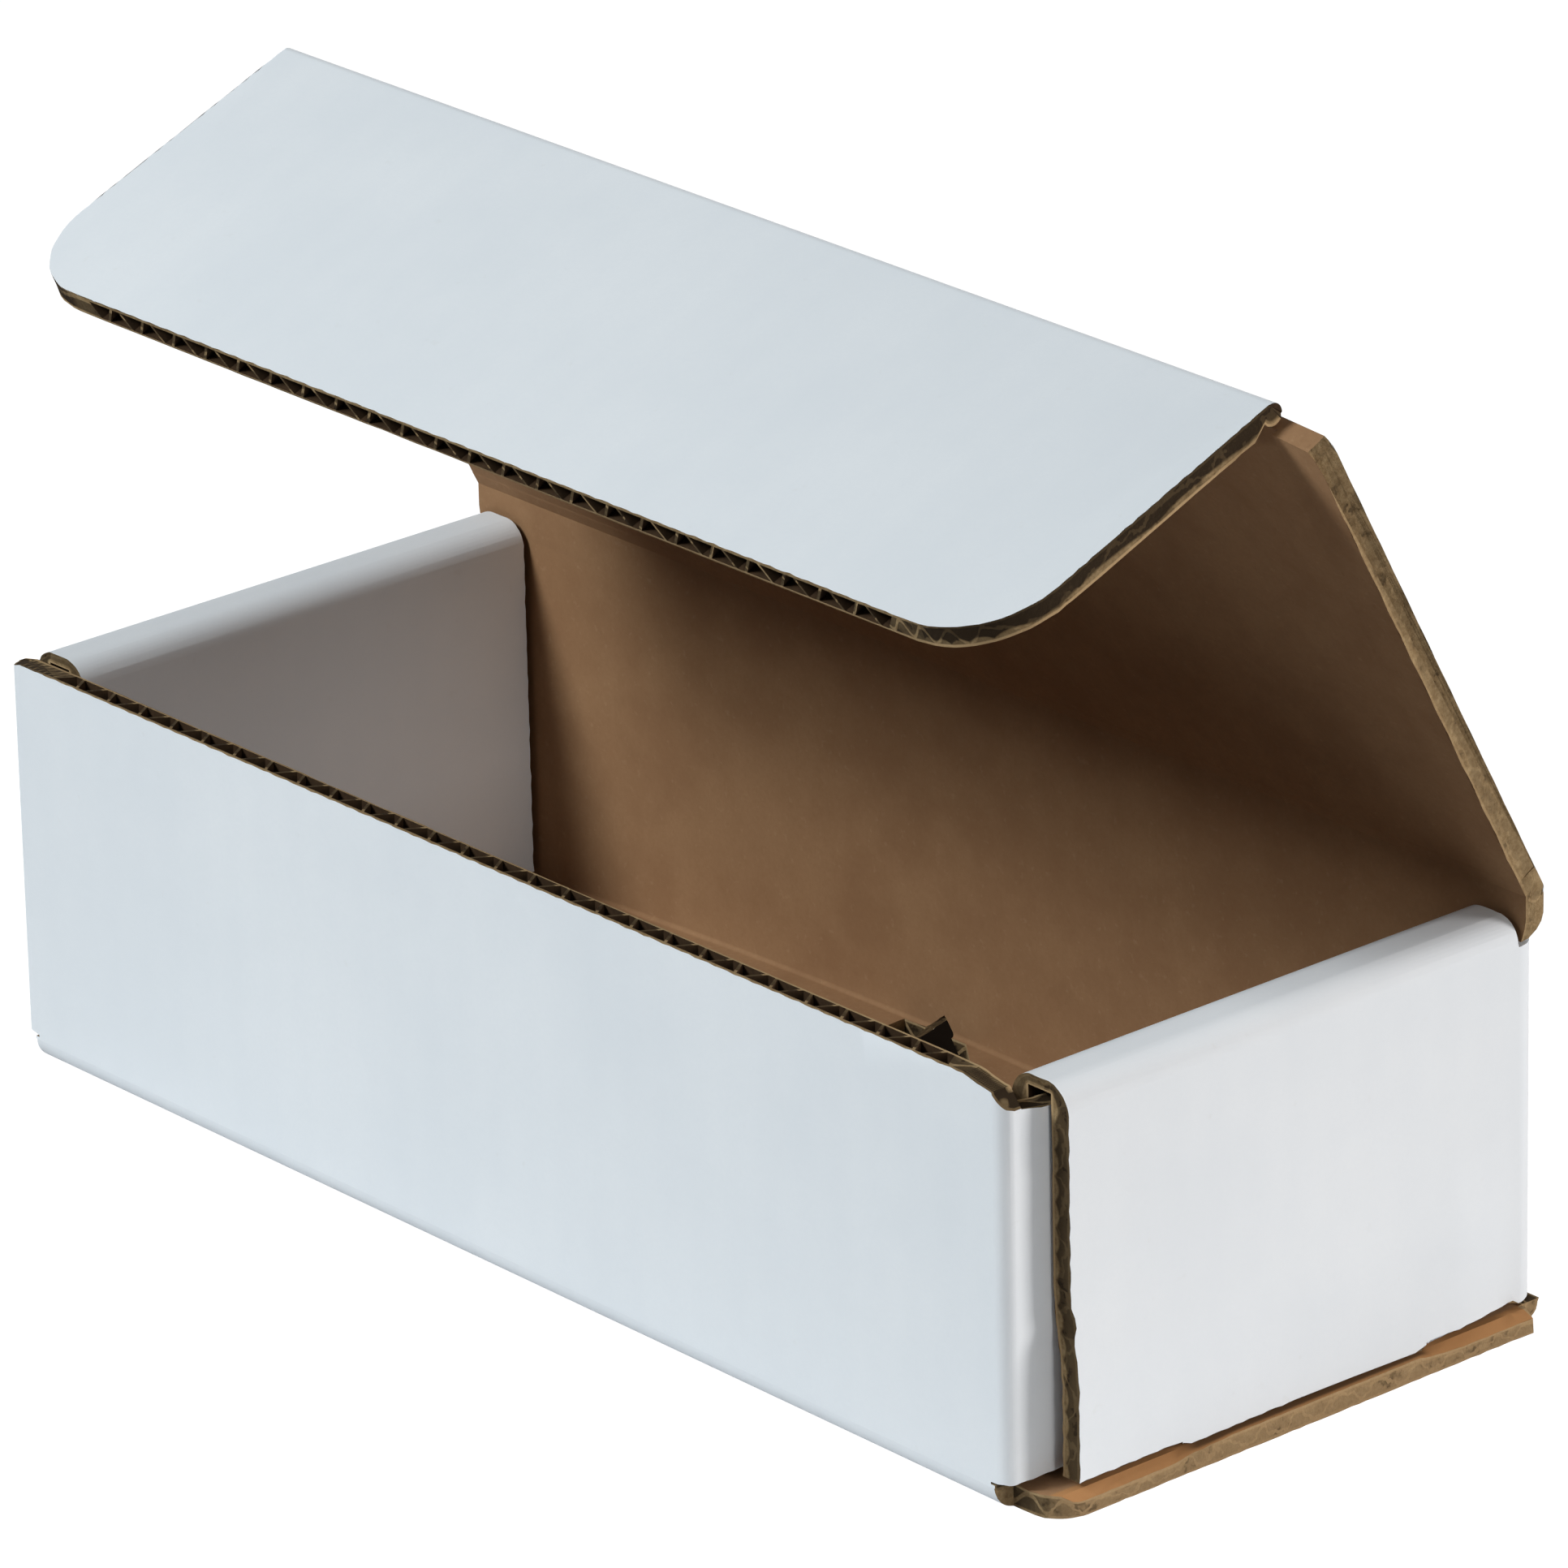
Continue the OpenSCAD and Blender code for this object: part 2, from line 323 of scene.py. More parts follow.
def cut_edge():
    s = Shader("cut_edge")
    across, run = s.attribute("skin"), s.attribute("run")
    open_cut, cut_shade = s.attribute("open"), s.attribute("cut_shade")
    fibre = s.noise(1500, 4, rough=0.75)
    stray = s.noise(260, 3)
    crush = s.noise(420, 3, rough=0.65)
    way = run + (stray - 0.5) * (1 - open_cut) * STRAY
    wave = (way * (2 * math.pi * MM / FLUTE_PITCH)).sin()
    web = 1 - (across - 0.5 - wave * WEB_SWING).abs().step(*WEB)
    liner = 1 - across.step(*LINER)
    inside = across.between(*HOLLOW)
    # The dark hollow between the webs is painted shade inside the flutes, strongest on cuts
    # straight across them.
    hollow = inside * (1 - web) * (0.15 + open_cut * 0.6 + crush.step(0.55, 0.68) * 0.4)
    # The dark band along the cut, set by each face's value, is painted shade in its dug-out hollow.
    tooth = (run * (math.pi / KNIFE_WAVE)).sin().abs()
    dug_shade = (across - tooth * 0.2).step(0.1, 0.26) * cut_shade
    tone = s.mix(fibre.step(0.3, 0.7), rgb(131, 108, 76), rgb(160, 137, 102))
    tone = s.mix(crush.step(0.35, 0.6) * 0.3, tone, rgb(112, 87, 58))
    tone = s.mix(liner * (0.12 + cut_shade * 0.6 + open_cut * 0.2), tone, rgb(188, 158, 118))
    tone = s.mix(s.on_lips() * 0.45, tone, rgb(186, 154, 114))
    tone = s.mix(hollow + dug_shade * (0.7 + fibre * 0.4), tone, rgb(44, 33, 20))
    s.set(Base_Color=tone, Roughness=0.88)
    s.shine(0.12)
    s.set(Normal=s.bump(fibre * 0.4 + crush * 0.3 - hollow * 0.5 - dug_shade * 0.4, 0.0003, 0.8))
    return s.material


# The flute medium is kraft like the brown paper; it is coloured much darker here as painted shade
# deep inside the flutes.
def shaded_flute_inside():
    s = Shader("shaded_flute_inside")
    fibre = s.noise(1100, 3)
    s.set(Base_Color=s.mix(fibre, rgb(40, 30, 20), rgb(74, 55, 38)), Roughness=0.9)
    s.shine(0.1)
    return s.material


WHITE, BROWN, EDGE, FLUTE = range(4)
papers = [white_paper(), brown_paper(), cut_edge(), shaded_flute_inside()]
print("papers:", [m.name for m in papers])

# %% [markdown]
# ## Where on the sheet a point lies
# Every face of the folded sheet is the white side, the brown side or a cut. To tell them apart,
# each flat panel and each fold of the box is written down once, with the way its white side
# faces. A point's share of the way from the brown side to the white side is then 0 to 1, and a
# face whose corners all have 1 is white paper.

# %% The panels and folds of the tray, in millimetres
BOARD = 3.0
CRUSHED = 1.4
FOLD_OUT = 3.6
CORNER_OUT = 2.0
DEPTH = 43.0
TOP = 56.7
FRONT = 96.5
END = 100.0
ROLL_IN = 90.0
ROLL_TOP = 55.2
ROLL_LOW = ROLL_TOP - FOLD_OUT
FLAP_FOOT, FLAP_TOP, FLAP_TO = 4.0, 53.0, 18.0
LIP_REACH, SLOT_FOOT = 103.0, 0.2
SHEET_FOOT = 3.2
STRIP_Y = (-36.0, 39.5)
NEAR = 0.02
ROLL_SKIN, FOLD_SLACK = 0.05, 0.1
SHARE_SLACK = 0.05


def panel(axis, outer, outward, low, high, thick=BOARD):
    """A flat panel: its white face lies at outer on that axis, facing outward (-1 or 1)."""
    return {"kind": "flat", "axis": axis, "at": outer, "out": outward,
            "low": low, "high": high, "thick": thick}


def fold(kind, axis, centre, low, high):
    """A fold that turns about axis, with its white side outside."""
    return {"kind": kind, "axis": axis, "at": centre, "low": low, "high": high}


def both_sides(part):
    """The same panel or fold at the right end and, mirrored, at the left end."""
    low, high = part["low"], part["high"]
    flipped = dict(part, low=[-high[0], *low[1:]], high=[-low[0], *high[1:]])
    if part["kind"] != "flat":
        flipped["at"] = [-part["at"][0], *part["at"][1:]]
    elif part["axis"] == 0:
        flipped.update(at=-part["at"], out=-part["out"])
    return [part, flipped]


def across_fold(part, point):
    """How far a point lies from a fold's centre, in the two directions across its axis."""
    return [abs(point[i] - part["at"][i]) for i in range(3) if i != part["axis"]]


def fold_share(part, point):
    away = math.hypot(*across_fold(part, point))
    if part["kind"] == "roll":
        return 1 if away > FOLD_OUT - ROLL_SKIN else 0
    out = CORNER_OUT if part["kind"] == "corner" else FOLD_OUT
    return (away - out + BOARD) / BOARD if away < out + FOLD_SLACK else None


def share_in(part, point):
    """0 on the part's brown side, 1 on its white side, or None off the part."""
    if any(point[i] < part["low"][i] - NEAR or point[i] > part["high"][i] + NEAR for i in range(3)):
        return None
    if part["kind"] == "flat":
        return 1 - (part["at"] - point[part["axis"]]) * part["out"] / part["thick"]
    return fold_share(part, point)


STRIP_FROM, STRIP_TO = STRIP_Y
CORNER = CORNER_OUT - DEPTH
TRAY_PARTS = [
    *both_sides(panel(0, FRONT, 1, [FRONT - BOARD, CORNER, FLAP_FOOT], [FRONT, FLAP_TO, FLAP_TOP])),
    fold("fold", 0, [0, FOLD_OUT - DEPTH, FOLD_OUT],
         [-FRONT, -DEPTH, 0], [FRONT, FOLD_OUT - DEPTH, FOLD_OUT]),
    fold("fold", 0, [0, DEPTH - FOLD_OUT, FOLD_OUT],
         [FOLD_OUT - END, DEPTH - FOLD_OUT, 0], [END - FOLD_OUT, DEPTH, FOLD_OUT]),
    fold("fold", 0, [0, DEPTH - FOLD_OUT, FOLD_OUT],
         [-END, DEPTH - FOLD_OUT, 0], [END, DEPTH, SHEET_FOOT]),
    *both_sides(fold("corner", 2, [FRONT - CORNER_OUT, CORNER, 0],
                     [FRONT - CORNER_OUT, -DEPTH, FLAP_FOOT], [FRONT, CORNER, TOP])),
    *both_sides(fold("fold", 2, [END - FOLD_OUT, DEPTH - FOLD_OUT, 0],
                     [END - FOLD_OUT, DEPTH - FOLD_OUT, SHEET_FOOT + 0.1], [END, DEPTH, ROLL_LOW])),
    *both_sides(fold("roll", 1, [END - FOLD_OUT, 0, ROLL_LOW],
                     [END - FOLD_OUT, STRIP_FROM, ROLL_LOW], [END, STRIP_TO, ROLL_TOP])),
    *both_sides(fold("roll", 1, [ROLL_IN + FOLD_OUT, 0, ROLL_LOW],
                     [ROLL_IN, STRIP_FROM, ROLL_LOW], [ROLL_IN + FOLD_OUT, STRIP_TO, ROLL_TOP])),
    panel(1, -DEPTH, -1, [-FRONT, -DEPTH, FOLD_OUT], [FRONT, BOARD - DEPTH, TOP]),
    panel(1, DEPTH, 1, [FOLD_OUT - END, DEPTH - BOARD, FOLD_OUT], [END - FOLD_OUT, DEPTH, TOP]),
    panel(1, DEPTH, 1, [-END, DEPTH - BOARD, ROLL_LOW + 0.1], [END, DEPTH, TOP]),
    *both_sides(panel(0, END, 1, [END - BOARD, STRIP_FROM, SHEET_FOOT],
                      [END, DEPTH - FOLD_OUT, ROLL_LOW])),
    *both_sides(panel(0, ROLL_IN, -1, [ROLL_IN, STRIP_FROM, SLOT_FOOT],
                      [ROLL_IN + BOARD, STRIP_TO, ROLL_LOW])),
    *both_sides(panel(2, ROLL_TOP, 1, [ROLL_IN + FOLD_OUT, STRIP_FROM, ROLL_TOP - CRUSHED],
                      [END - FOLD_OUT, STRIP_TO, ROLL_TOP], CRUSHED)),
    panel(2, 0, -1, [-LIP_REACH, -DEPTH, 0], [LIP_REACH, DEPTH, BOARD]),
]


def tray_share(point):
    for part in TRAY_PARTS:
        share = share_in(part, point)
        if share is not None and -SHARE_SLACK <= share <= 1 + SHARE_SLACK:
            return min(max(share, 0), 1)
    return 0.5


print("parts of the tray:", len(TRAY_PARTS))

# %% [markdown]
# The lid and its flap are flat sheets standing at an angle. Their joints, which come with the
# model, say where their creases are, and the share is then simply how far a point stands off the
# middle of the board.

# %% The lid and the tuck flap as flat sheets
hinges = {j["name"]: Vector(j["pos_m"]) / MM for j in frame["joints"]}
LID_CREASE, TUCK_CREASE = hinges["lid_crease"], hinges["tuck_crease"]
LID_ALONG = (TUCK_CREASE - LID_CREASE).normalized()
LID_OUT = Vector((0, LID_ALONG.z, -LID_ALONG.y))
TUCK_FOLD = math.radians(84.3)
BEND = BOARD / 2 + 0.1
LID_HALF, TUCK_HALF = 100.35, 92.6
SCORED, SCORED_TO, OUTSIDE = 2.4, 0.75, 0.8
TUCK_OUT = LID_ALONG * math.sin(TUCK_FOLD) + LID_OUT * math.cos(TUCK_FOLD)


def off_crease(point, crease):
    """How far a point lies from a crease's line."""
    return math.hypot(point[1] - crease.y, point[2] - crease.z)


def two_sided(share):
    """At a crease only the outside paper is left whole, so all the rest counts as brown."""
    return 1 if share > OUTSIDE else 0


def lid_share(point):
    share = (Vector(point) - LID_CREASE).dot(LID_OUT) / BOARD + 0.5
    scored = off_crease(point, TUCK_CREASE) < SCORED and share < SCORED_TO
    return two_sided(share) if scored or off_crease(point, LID_CREASE) < BEND else share


def tuck_share(point):
    away = Vector(point) - TUCK_CREASE
    share = away.dot(TUCK_OUT) / BOARD + 0.5
    if off_crease(point, TUCK_CREASE) < BEND:
        return two_sided(max(share, away.dot(LID_OUT) / BOARD + 0.5))
    return 0 if off_crease(point, TUCK_CREASE) < SCORED and share < SCORED_TO else share


print("lid stands open", round(math.degrees(math.acos(-LID_ALONG.y)), 1), "degrees")

# %% [markdown]
# ## From the measured model to a sheet of board
# The model's mesh is loose triangles. A copy of it is merged, so that its faces know their
# neighbours, and then each face gets its paper. The copy takes the place of the measured piece.

# %% Copy and merge a sheet
def deselect_all():
    if bpy.context.object and bpy.context.object.mode != "OBJECT":
        bpy.ops.object.mode_set(mode="OBJECT")
    bpy.ops.object.select_all(action="DESELECT")


def pick(piece):
    """Selects the piece alone and makes it active, for the operators that follow."""
    deselect_all()
    piece.select_set(True)
    bpy.context.view_layer.objects.active = piece


def copy_of(node, name):
    """A merged copy of a CAD node, selected and active."""
    piece = bpy.data.objects.new(name, frame["nodes"][node].data.copy())
    scene.collection.objects.link(piece)
    pick(piece)
    piece.data.materials.clear()
    for paper in papers:
        piece.data.materials.append(paper)
    bpy.ops.object.mode_set(mode="EDIT")
    bpy.ops.mesh.select_all(action="SELECT")
    bpy.ops.mesh.remove_doubles(threshold=0.002 * MM)
    bpy.ops.mesh.customdata_custom_splitnormals_clear()
    bpy.ops.object.mode_set(mode="OBJECT")
    return piece


def slice_piece(piece, axis, places):
    """Cuts the faces along planes across axis, so that they can bend there."""
    pick(piece)
    bpy.ops.object.mode_set(mode="EDIT")
    normal = Vector([float(i == axis) for i in range(3)])
    for at in places:
        bpy.ops.mesh.select_all(action="SELECT")
        bpy.ops.mesh.bisect(plane_co=normal * at * MM, plane_no=normal, threshold=0.01 * MM)
    bpy.ops.object.mode_set(mode="OBJECT")


# %% Give each face its paper
SAME_PLANE = 0.999
PAPER_CORNER, PAPER_MIDDLE, BOARD_CORNER = 0.07, 0.1, 0.08


def spread_edge(mesh):
    """The webs between open flutes lie flush with the cut round them, so they are cut edge."""
    beside = {}
    for face in mesh.polygons:
        for key in face.edge_keys:
            beside.setdefault(key, []).append(face.index)
    queue = [face.index for face in mesh.polygons if face.material_index == EDGE]
    while queue:
        face = mesh.polygons[queue.pop()]
        for other in {i for key in face.edge_keys for i in beside[key]}:
            near = mesh.polygons[other]
            if near.material_index == FLUTE and near.normal.dot(face.normal) > SAME_PLANE:
                near.material_index = EDGE
                queue.append(other)


def keep_value(mesh, name, domain, values):
    mesh.attributes.new(name, "FLOAT", domain).data.foreach_set("value", values)


def in_mm(place):
    return [c / MM for c in place]


def run_axis(place):
    """The axis across the flutes: x, but y on the sheets of the end walls."""
    return 1 if abs(place.x) / MM > ROLL_IN - 0.1 and SHEET_FOOT < place.z / MM < TOP else 0


def tray_run(place):
    """The way along a cut: across the flutes, plus along them from the cut's usual level."""
    x, y, z = in_mm(place)
    if run_axis(place):
        return y + z - ROLL_TOP
    return x + y if z < SHEET_FOOT else x + z - TOP


# How strong the painted shade is in the hollows dug out along the cuts, per kind of cut.
CUT_SHADE_FRONT, CUT_SHADE_CORNER, CUT_SHADE_TRAY, CUT_SHADE_LID, CUT_SHADE_TUCK = 0.8, 0.55, 0.12, 0.15, 0.95


def tray_cut_shade(face):
    """How strong the painted shade in a cut's dug-out hollow is: most along the end walls' front
    edges.
    """
    x, y, z = in_mm(face.center)
    if abs(x) > END - BOARD - 0.2 and y < STRIP_FROM + 1 and z > SHEET_FOOT:
        return CUT_SHADE_FRONT
    return CUT_SHADE_CORNER if z > TOP / 2 and abs(x) > ROLL_IN else CUT_SHADE_TRAY


def lid_cut_shade(face):
    return CUT_SHADE_LID


def tuck_cut_shade(face):
    """Painted shade in the cut's dug-out hollow: most along the flap's two short sides, which are
    cut along the flutes.
    """
    return min(3 * abs(face.normal.x), CUT_SHADE_TUCK)


def leaf_run(place):
    """On the lid and its flap: x plus the way from the crease between them."""
    return (place.x + (place - TUCK_CREASE * MM).length) / MM


def paint(piece, share, run, cut_shade):
    """Gives each face its paper. Each corner's share is kept as skin and its way along the cut as
    run; open is 1 on a cut straight across the flutes and 0 on one along them; the last argument
    gives, per face, how strong the painted shade in a cut's dug-out hollow is."""
    mesh = piece.data
    shares = [share(in_mm(v.co)) for v in mesh.vertices]
    keep_value(mesh, "skin", "POINT", shares)
    keep_value(mesh, "run", "POINT", [run(v.co) for v in mesh.vertices])
    across = [1 - abs(f.normal[run_axis(f.center)]) for f in mesh.polygons]
    keep_value(mesh, "open", "FACE", across)
    keep_value(mesh, "cut_shade", "FACE", [cut_shade(f) for f in mesh.polygons])
    for face in mesh.polygons:
        corner = [shares[i] for i in face.vertices]
        middle = share(in_mm(face.center))
        if min(corner) > 1 - PAPER_CORNER and middle > 1 - PAPER_MIDDLE:
            face.material_index = WHITE
        elif max(corner) < PAPER_CORNER and middle < PAPER_MIDDLE:
            face.material_index = BROWN
        elif min(corner) > BOARD_CORNER and max(corner) < 1 - BOARD_CORNER:
            face.material_index = FLUTE
        else:
            face.material_index = EDGE
    spread_edge(mesh)
    count = [sum(f.material_index == k for f in mesh.polygons) for k in range(len(papers))]
    print(piece.name, "faces: white, brown, edge, flute", count)


# %% [markdown]
# ## The mark of the knife
# The blank was cut by a serrated knife, so each paper's edge runs in and out a little, once for
# each tooth. A darker texture would leave the outline ruler-straight, and the outline is what
# shows. So the edges where paper meets a cut are divided into short steps, and each point is set
# in from its cut by a fraction of a millimetre.

# %% The knife's wave along every cut
KNIFE_STEP = 1.15
KNIFE_DEEP = 0.16
KNIFE_ROUGH, ROUGH_SCALE = 0.8, 0.9
ONE_CUT = 0.8
SMOOTH_BELOW = math.radians(28)


def rim_edges(mesh):
    """The edges where paper meets a cut."""
    sides = {}
    for face in mesh.polygons:
        for key in face.edge_keys:
            sides.setdefault(key, []).append(face.material_index)
    return {key for key, both in sides.items() if EDGE in both and (WHITE in both or BROWN in both)}


def divide_rim(piece):
    """Divides the rim into steps of about KNIFE_STEP."""
    mesh = piece.data
    rim = rim_edges(mesh)
    groups = {}
    for edge in mesh.edges:
        if edge.key in rim:
            a, b = (mesh.vertices[i].co for i in edge.vertices)
            cuts = int(round((a - b).length / MM / KNIFE_STEP)) - 1
            if cuts > 0:
                groups.setdefault(cuts, []).append(edge.index)
    shape = bmesh.new()
    shape.from_mesh(mesh)
    shape.edges.ensure_lookup_table()
    chosen = {cuts: [shape.edges[i] for i in ids] for cuts, ids in groups.items()}
    for cuts, edges in sorted(chosen.items()):
        bmesh.ops.subdivide_edges(shape, edges=edges, cuts=cuts, use_grid_fill=False)
    shape.to_mesh(mesh)
    shape.free()
    print(piece.name, "rim edges divided:", sum(len(e) for e in groups.values()))


def wave_rim(piece, seed):
    """Sets the rim in from its cut face, deeper and shallower, as the knife's teeth do."""
    mesh = piece.data
    rim = rim_edges(mesh)
    cut_normal = {}
    for face in mesh.polygons:
        if face.material_index == EDGE:
            for key in face.edge_keys:
                if key in rim:
                    for i in key:
                        cut_normal.setdefault(i, []).append(face.normal.copy())
    moved = 0
    for i, normals in cut_normal.items():
        point = mesh.vertices[i].co
        normal = sum(normals, Vector()).normalized()
        if any(normal.dot(n) < ONE_CUT for n in normals):
            continue
        across = Vector((1, 1, 1)) - Vector([abs(c) for c in normal])
        run = (point.x * across.x + point.y * across.y + point.z * across.z) / MM
        tooth = abs((run / KNIFE_WAVE) % 1 - 0.5) * 2
        rough = abs(noise.noise(point / MM * ROUGH_SCALE + Vector((seed, 0, 0))))
        dent = 1 - tooth + KNIFE_ROUGH * rough
        mesh.vertices[i].co = point - normal * KNIFE_DEEP * MM * dent
        moved += 1
    print(piece.name, "rim points moved:", moved)


def finish_sheet(piece, node, body):
    """Smooth folds, and the piece takes the CAD node's place."""
    pick(piece)
    bpy.ops.object.shade_smooth_by_angle(angle=SMOOTH_BELOW)
    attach(piece, body)
    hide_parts(node)
    print(piece.name, "triangles:", sum(len(f.vertices) - 2 for f in piece.data.polygons))


# %% [markdown]
# ## The tray
# In the empty box the bottom springs up a little in the middle, most along its back crease, where
# the crushed inside paper also stands up as a low bead. The outer sheet of the right end wall,
# pushed out by the layers behind it, leans out over its lip below a small tear in its front edge.
# The tray's faces are sliced where it bends, and then their points are moved by smooth curves.

# %% Spring the bottom up and let the end wall's foot lean out
HUMP, HUMP_HALF, HUMP_RUN = 3.2, 89.0, 72.0
HUMP_FROM, HUMP_TOP = 4.0, 13.0
HUMP_ROUND, HUMP_RISE = 0.9, 1.3
BEAD, BEAD_WIDE, BEAD_END = 0.25, 4.0, 3.0
LEAN, LEAN_FROM, LEAN_TO, LEAN_BACK = 1.3, 27.0, 17.0, 12.0
LIP_FROM, ROLL_SHADE_FROM = 100.7, 44.0
TAB_Y = (-18.6, 22.4)
SLICES_X = (-LIP_FROM, *range(-84, 90, 12), LIP_FROM)
SLICES_Y = (-30, TAB_Y[0] - 2, TAB_Y[0], -10, 0, 10, TAB_Y[1] - 2, TAB_Y[1], 28, 32, 35, 37.5)
SLICES_Z = (6, 9, HUMP_TOP, 16, 20, 24, 28, ROLL_SHADE_FROM)


def ease(value):
    """0 below 0, 1 above 1 and smooth between."""
    value = min(max(value, 0), 1)
    return value * value * (3 - 2 * value)


def lift_at(x, y):
    """How far the bottom stands up at x, y."""
    side = max(math.cos(x / HUMP_HALF * math.pi / 2), 0) ** HUMP_ROUND
    back = min(max((y + DEPTH - BOARD) / HUMP_RUN, 0), 1) ** HUMP_RISE
    off_wall = DEPTH - BOARD - y
    bead = BEAD * math.exp(-(off_wall / BEAD_WIDE) ** 2)
    return HUMP * side * back + bead * ease((HUMP_HALF + 1 - abs(x)) / BEAD_END)


def spring_bottom(piece):
    """Lifts the bottom, and lets the right end wall's foot lean out."""
    for axis, places in enumerate((SLICES_X, SLICES_Y, SLICES_Z)):
        slice_piece(piece, axis, places)
    for v in piece.data.vertices:
        x, y, z = in_mm(v.co)
        if abs(x) <= HUMP_HALF + 1 and z < HUMP_TOP and y > BOARD - DEPTH + 1:
            low = 1 - ease((z - HUMP_FROM) / (HUMP_TOP - HUMP_FROM))
            v.co.z += lift_at(x, y) * low * MM
        if x > FRONT + 0.4 and y < DEPTH - FOLD_OUT and z > SHEET_FOOT:
            down = ease((LEAN_FROM - z) / (LEAN_FROM - LEAN_TO))
            lean = down * ease((DEPTH - FOLD_OUT - y) / LEAN_BACK)
            v.co.x += LEAN * lean * MM


# %% [markdown]
# ## Crushed lips, trimmed feet and a tear
# The lips under the end walls are crushed thin when the walls are rolled over them, and stay
# thicker only over the tabs. Beside its tab each outer sheet's foot is cut a little higher, and
# the right one has a small tear in its front edge. All three are dents of a millimetre or less,
# so points that slicing and dividing have made are moved, and nothing new is modelled.

# %% Press the lips, trim the feet and tear the edge
LIP_TOP, LIP_CRUSH, LIP_ROUND = (2.4, 3.1), 1.0, 1.3
OVER_TAB = 0.2
FOOT_BELOW, FOOT_RISE, FOOT_HOLLOW = 3.65, 0.55, 0.22
TEAR = Vector((100.0, -35.7, 24.6))
TEAR_SIZE, TEAR_DEEP = 1.9, 0.9


def crush_lips(piece):
    """The lips' outer rims are pressed thin, less so over the tabs."""
    for v in piece.data.vertices:
        x, y, z = in_mm(v.co)
        if LIP_TOP[0] < z < LIP_TOP[1]:
            beside = max(ease((TAB_Y[0] + 1 - y) / 2), ease((y - TAB_Y[1] + 1) / 2))
            press = LIP_CRUSH * (OVER_TAB + (1 - OVER_TAB) * beside)
            v.co.z -= press * ease((abs(x) - LIP_FROM) / LIP_ROUND) * MM


def cut_feet(piece):
    """The outer sheets' feet: cut higher beside the tab, and a little hollow over it."""
    for v in piece.data.vertices:
        x, y, z = in_mm(v.co)
        on_sheet = abs(x) > END - BOARD - 0.1 and STRIP_FROM - 0.5 < y < DEPTH - FOLD_OUT
        if on_sheet and SHEET_FOOT < z < FOOT_BELOW:
            over_tab = (y - TAB_Y[0]) / (TAB_Y[1] - TAB_Y[0])
            hollow = FOOT_HOLLOW * math.sin(over_tab * math.pi)
            v.co.z += (hollow if 0.01 < over_tab < 0.99 else FOOT_RISE) * MM


def tear_edge(piece):
    """A small tear in the right end wall's front edge."""
    for v in piece.data.vertices:
        away = (v.co / MM - TEAR).length / TEAR_SIZE
        if away < 1:
            v.co.y += TEAR_DEEP * (1 - away) * MM


# %% The tray
HOOK = (96.2, 39.3, 51.2)
HOOK_PALE = 52.0


def paint_corners(piece):
    """Pressed cuts at the hooks show only paper, and the brown paper inside the rolled walls gets
    the dark flute colour as painted shade.
    """
    for face in piece.data.polygons:
        x, y, z = in_mm(face.center)
        at_hook = abs(x) > HOOK[0] and y > HOOK[1] and z > HOOK[2]
        if face.material_index != WHITE and at_hook:
            face.material_index = BROWN if z > HOOK_PALE else WHITE
        # Painted shade: brown paper high inside the rolled walls takes the dark flute colour.
        in_roll = ROLL_IN + BOARD < abs(x) < END - BOARD + 0.2 and z > ROLL_SHADE_FROM
        if face.material_index == BROWN and in_roll:
            face.material_index = FLUTE


tray = copy_of("tray", "folded_tray")
paint(tray, tray_share, tray_run, tray_cut_shade)
spring_bottom(tray)
paint_corners(tray)
crush_lips(tray)
divide_rim(tray)
cut_feet(tray)
wave_rim(tray, 3)
tear_edge(tray)
finish_sheet(tray, "tray", "tray")

# %% [markdown]
# ## The lid and the tuck flap
# Both are flat, so they only need their papers and the knife's wave. The lid's far corners are worn
# round, and beside its far crease its pressed cut shows brown paper. Where the flap's fold ends,
# its cut gets the dark flute colour as painted shade.

# %% Lid
FAR_END = 9.0
FAR_ROUND = 3.2
SQUARE_ON = 0.95


def round_corners(piece):
    """Draws the far corners of the lid in to an arc."""
    points = [v.co / MM - LID_CREASE for v in piece.data.vertices]
    half = max(abs(p.x) for p in points)
    length = max(p.dot(LID_ALONG) for p in points)
    for v, p in zip(piece.data.vertices, points):
        over = Vector((abs(p.x) - half + FAR_ROUND, p.dot(LID_ALONG) - length + FAR_ROUND))
        if min(over) > 0 and over.length > FAR_ROUND:
            back = over * (FAR_ROUND / over.length - 1)
            inward = Vector((math.copysign(back.x, -p.x), 0, 0))
            v.co += (inward + LID_ALONG * back.y) * MM


def paint_far_ends(piece):
    """The pressed cuts beside the far crease show brown paper."""
    for face in piece.data.polygons:
        place = face.center / MM
        far_end = off_crease(place, TUCK_CREASE) < FAR_END and abs(place.x) > TUCK_HALF
        is_cut = face.material_index in (EDGE, FLUTE) and abs(face.normal.x) < SQUARE_ON
        if far_end and is_cut:
            face.material_index = BROWN


lid = copy_of("lid", "folded_lid")
slice_piece(lid, 0, (-TUCK_HALF, TUCK_HALF))
paint(lid, lid_share, leaf_run, lid_cut_shade)
paint_far_ends(lid)
divide_rim(lid)
round_corners(lid)
wave_rim(lid, 11)
finish_sheet(lid, "lid", "lid")

# %% Tuck flap
END_FACE = 0.9

tuck = copy_of("tuck", "folded_tuck_flap")
paint(tuck, tuck_share, leaf_run, tuck_cut_shade)
# Painted shade: the end faces of the flap's fold are cut board and take the dark flute colour.
for face in tuck.data.polygons:
    if face.material_index in (WHITE, BROWN) and abs(face.normal.x) > END_FACE:
        face.material_index = FLUTE
divide_rim(tuck)
wave_rim(tuck, 17)
finish_sheet(tuck, "tuck", "tuck")


